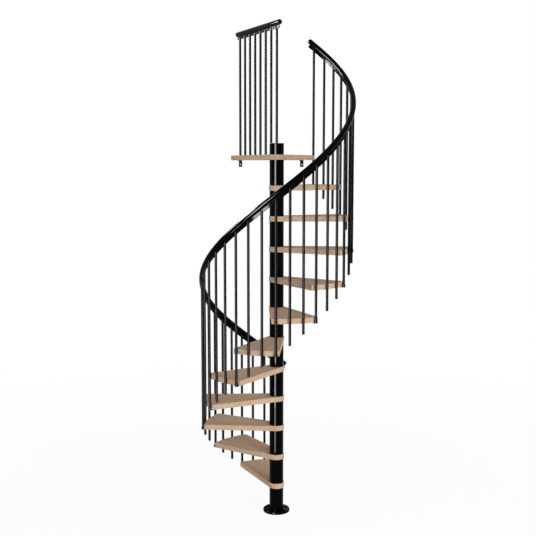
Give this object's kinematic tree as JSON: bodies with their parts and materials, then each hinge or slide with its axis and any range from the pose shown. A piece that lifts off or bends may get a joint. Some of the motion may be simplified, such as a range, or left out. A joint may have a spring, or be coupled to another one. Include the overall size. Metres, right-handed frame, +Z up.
{
  "type": "spiral staircase",
  "caption": "Spiral stair with wedge-shaped beech treads on a black steel column, a helical handrail over round black balusters, and a small landing with its own straight rail.",
  "frame": {"origin": "centre of the base flange's underside, on the floor", "axes": "+Z up along the column; the first baluster stands on +Y, behind the column; the stair climbs anticlockwise seen from above"},
  "size_m": [1.2, 1.2477, 3.8249],
  "materials": {
    "beech": "clear satin varnish over glued beech staves",
    "black_column": "satin black powder coat",
    "black_steel": "satin black powder coat",
    "black_baluster": "satin black powder coat",
    "black_handrail": "gloss black sleeve",
    "black_plastic": "fine matt moulded black",
    "zinc_steel": "plain zinc-plated tube, hidden in the column"
  },
  "bodies": {
    "root": {"base_flange": "black_steel", "centre_pole": "zinc_steel", "spacer_01": "black_column", "spacer_02": "black_column", "spacer_03": "black_column", "spacer_04": "black_column", "spacer_05": "black_column", "spacer_06": "black_column", "spacer_07": "black_column", "spacer_08": "black_column", "spacer_09": "black_column", "spacer_10": "black_column", "spacer_11": "black_column", "spacer_12": "black_column", "column_cap": "black_column", "tread_01": "beech", "tread_02": "beech", "tread_03": "beech", "tread_04": "beech", "tread_05": "beech", "tread_06": "beech", "tread_07": "beech", "tread_08": "beech", "tread_09": "beech", "tread_10": "beech", "tread_11": "beech", "landing": "beech", "balusters_01": "black_baluster", "balusters_02": "black_baluster", "balusters_03": "black_baluster", "balusters_04": "black_baluster", "balusters_05": "black_baluster", "balusters_06": "black_baluster", "balusters_07": "black_baluster", "balusters_08": "black_baluster", "balusters_09": "black_baluster", "balusters_10": "black_baluster", "balusters_11": "black_baluster", "baluster_feet": "black_plastic", "handrail": "black_handrail", "landing_handrail": "black_handrail", "rail_flat_bars": "black_steel", "handrail_end_caps": "black_plastic", "landing_balusters": "black_baluster", "floor_brackets": "black_steel"}
  },
  "joints": []
}
